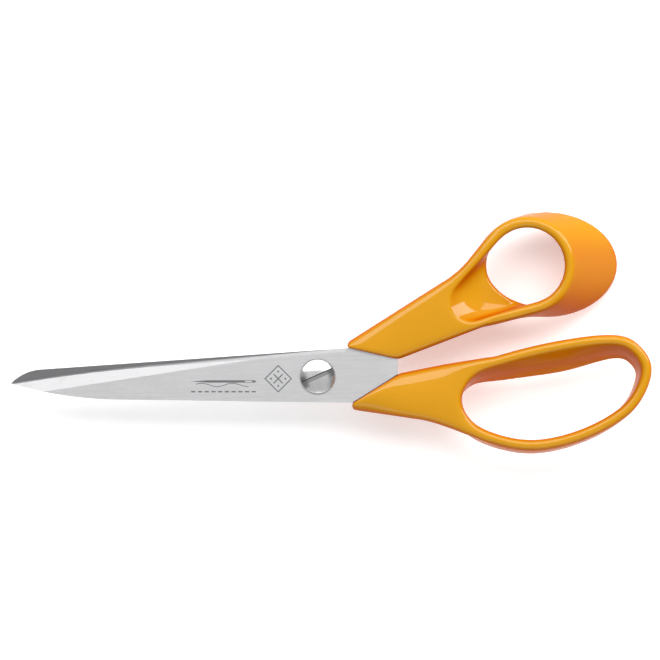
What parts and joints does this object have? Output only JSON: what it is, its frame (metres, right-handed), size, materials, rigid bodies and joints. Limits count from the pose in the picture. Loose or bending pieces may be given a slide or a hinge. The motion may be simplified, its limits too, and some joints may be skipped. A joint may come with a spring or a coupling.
{
  "type": "fabric shears",
  "caption": "Bent-handle fabric shears: two ground steel blades on a slotted pivot screw, with moulded plastic thumb and finger loops.",
  "frame": {"origin": "on the pivot axis, level with the outer flat of the thumb blade", "axes": "+X from the blades' tips to the handles, +Y from the finger loop to the thumb loop, +Z out of the thumb blade's outer flat"},
  "size_m": [0.2104, 0.0797, 0.0209],
  "materials": {
    "blade_steel": "satin ground stainless steel",
    "handle_plastic": "glossy moulded ABS, orange-yellow",
    "screw_steel": "polished steel",
    "washer_steel": "dark spring steel"
  },
  "bodies": {
    "finger_side": {"finger_blade": "blade_steel", "finger_handle": "handle_plastic", "pivot_screw": "screw_steel", "pivot_washer": "washer_steel", "lock_nut": "screw_steel"},
    "thumb_side": {"thumb_blade": "blade_steel", "thumb_handle": "handle_plastic"}
  },
  "joints": [
    {"name": "pivot", "type": "hinge", "parent": "finger_side", "child": "thumb_side", "pos_m": [0, 0, 0], "axis": [0, 0, 1], "range_deg": [0, 65]}
  ]
}
